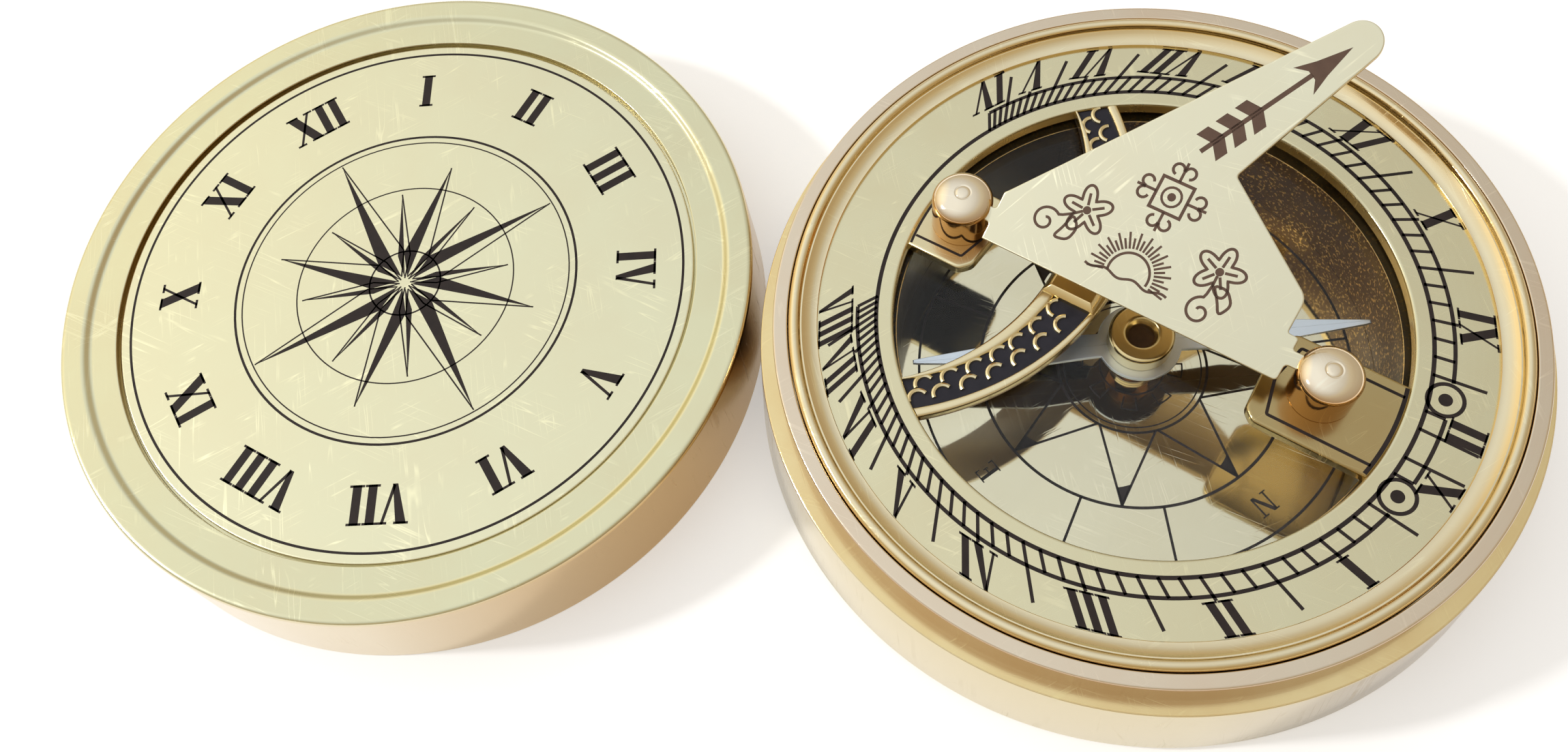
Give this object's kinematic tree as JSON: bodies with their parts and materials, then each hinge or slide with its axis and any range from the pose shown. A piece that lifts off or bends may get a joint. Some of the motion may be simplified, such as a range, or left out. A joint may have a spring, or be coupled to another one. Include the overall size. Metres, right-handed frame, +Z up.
{
  "type": "sundial compass",
  "caption": "Round turned case with a glazed compass, an hour ring round it, a folding gnomon plate on two posts, and a slip lid standing beside it.",
  "frame": {"origin": "centre of the case's flat underside, where it stands on a table", "axes": "+Z up through the compass's pin, -X towards the lid that stands beside the case; the noon line points 25.6 degrees clockwise from +X, seen from above"},
  "size_m": [0.1582, 0.0798, 0.0322],
  "materials": {
    "case_brass": "polished",
    "plate_brass": "satin",
    "golden_brass": "polished",
    "post_brass": "mirror polish",
    "needle_steel": "polished",
    "window_glass": "clear",
    "jewel": "polished stone"
  },
  "bodies": {
    "case": {"case_cup": "case_brass", "bezel_ring": "case_brass", "hour_dial": "plate_brass", "bar_bridge": "golden_brass", "window_glass": "window_glass", "chamber_ring": "golden_brass", "compass_card": "plate_brass", "pivot_pin": "golden_brass", "south_post": "post_brass", "north_post": "post_brass"},
    "gnomon": {"gnomon_plate": "plate_brass"},
    "needle": {"needle_blade": "needle_steel", "needle_cap": "golden_brass", "needle_jewel": "jewel"},
    "lid": {"lid_shell": "case_brass", "lid_medallion": "plate_brass"}
  },
  "joints": [
    {"name": "gnomon_fold", "type": "hinge", "parent": "case", "child": "gnomon", "pos_m": [0.00022, 0.00045, 0.01785], "axis": [0.9018, -0.4321, 0], "range_deg": [-27, 153]},
    {"name": "needle_spin", "type": "hinge", "parent": "case", "child": "needle", "pos_m": [0, 0, 0.0083], "axis": [0, 0, 1], "continuous": true},
    {"name": "lid_lift", "type": "slide", "parent": "case", "child": "lid", "axis": [0, 0, 1], "range_m": [0, 0.03]}
  ]
}
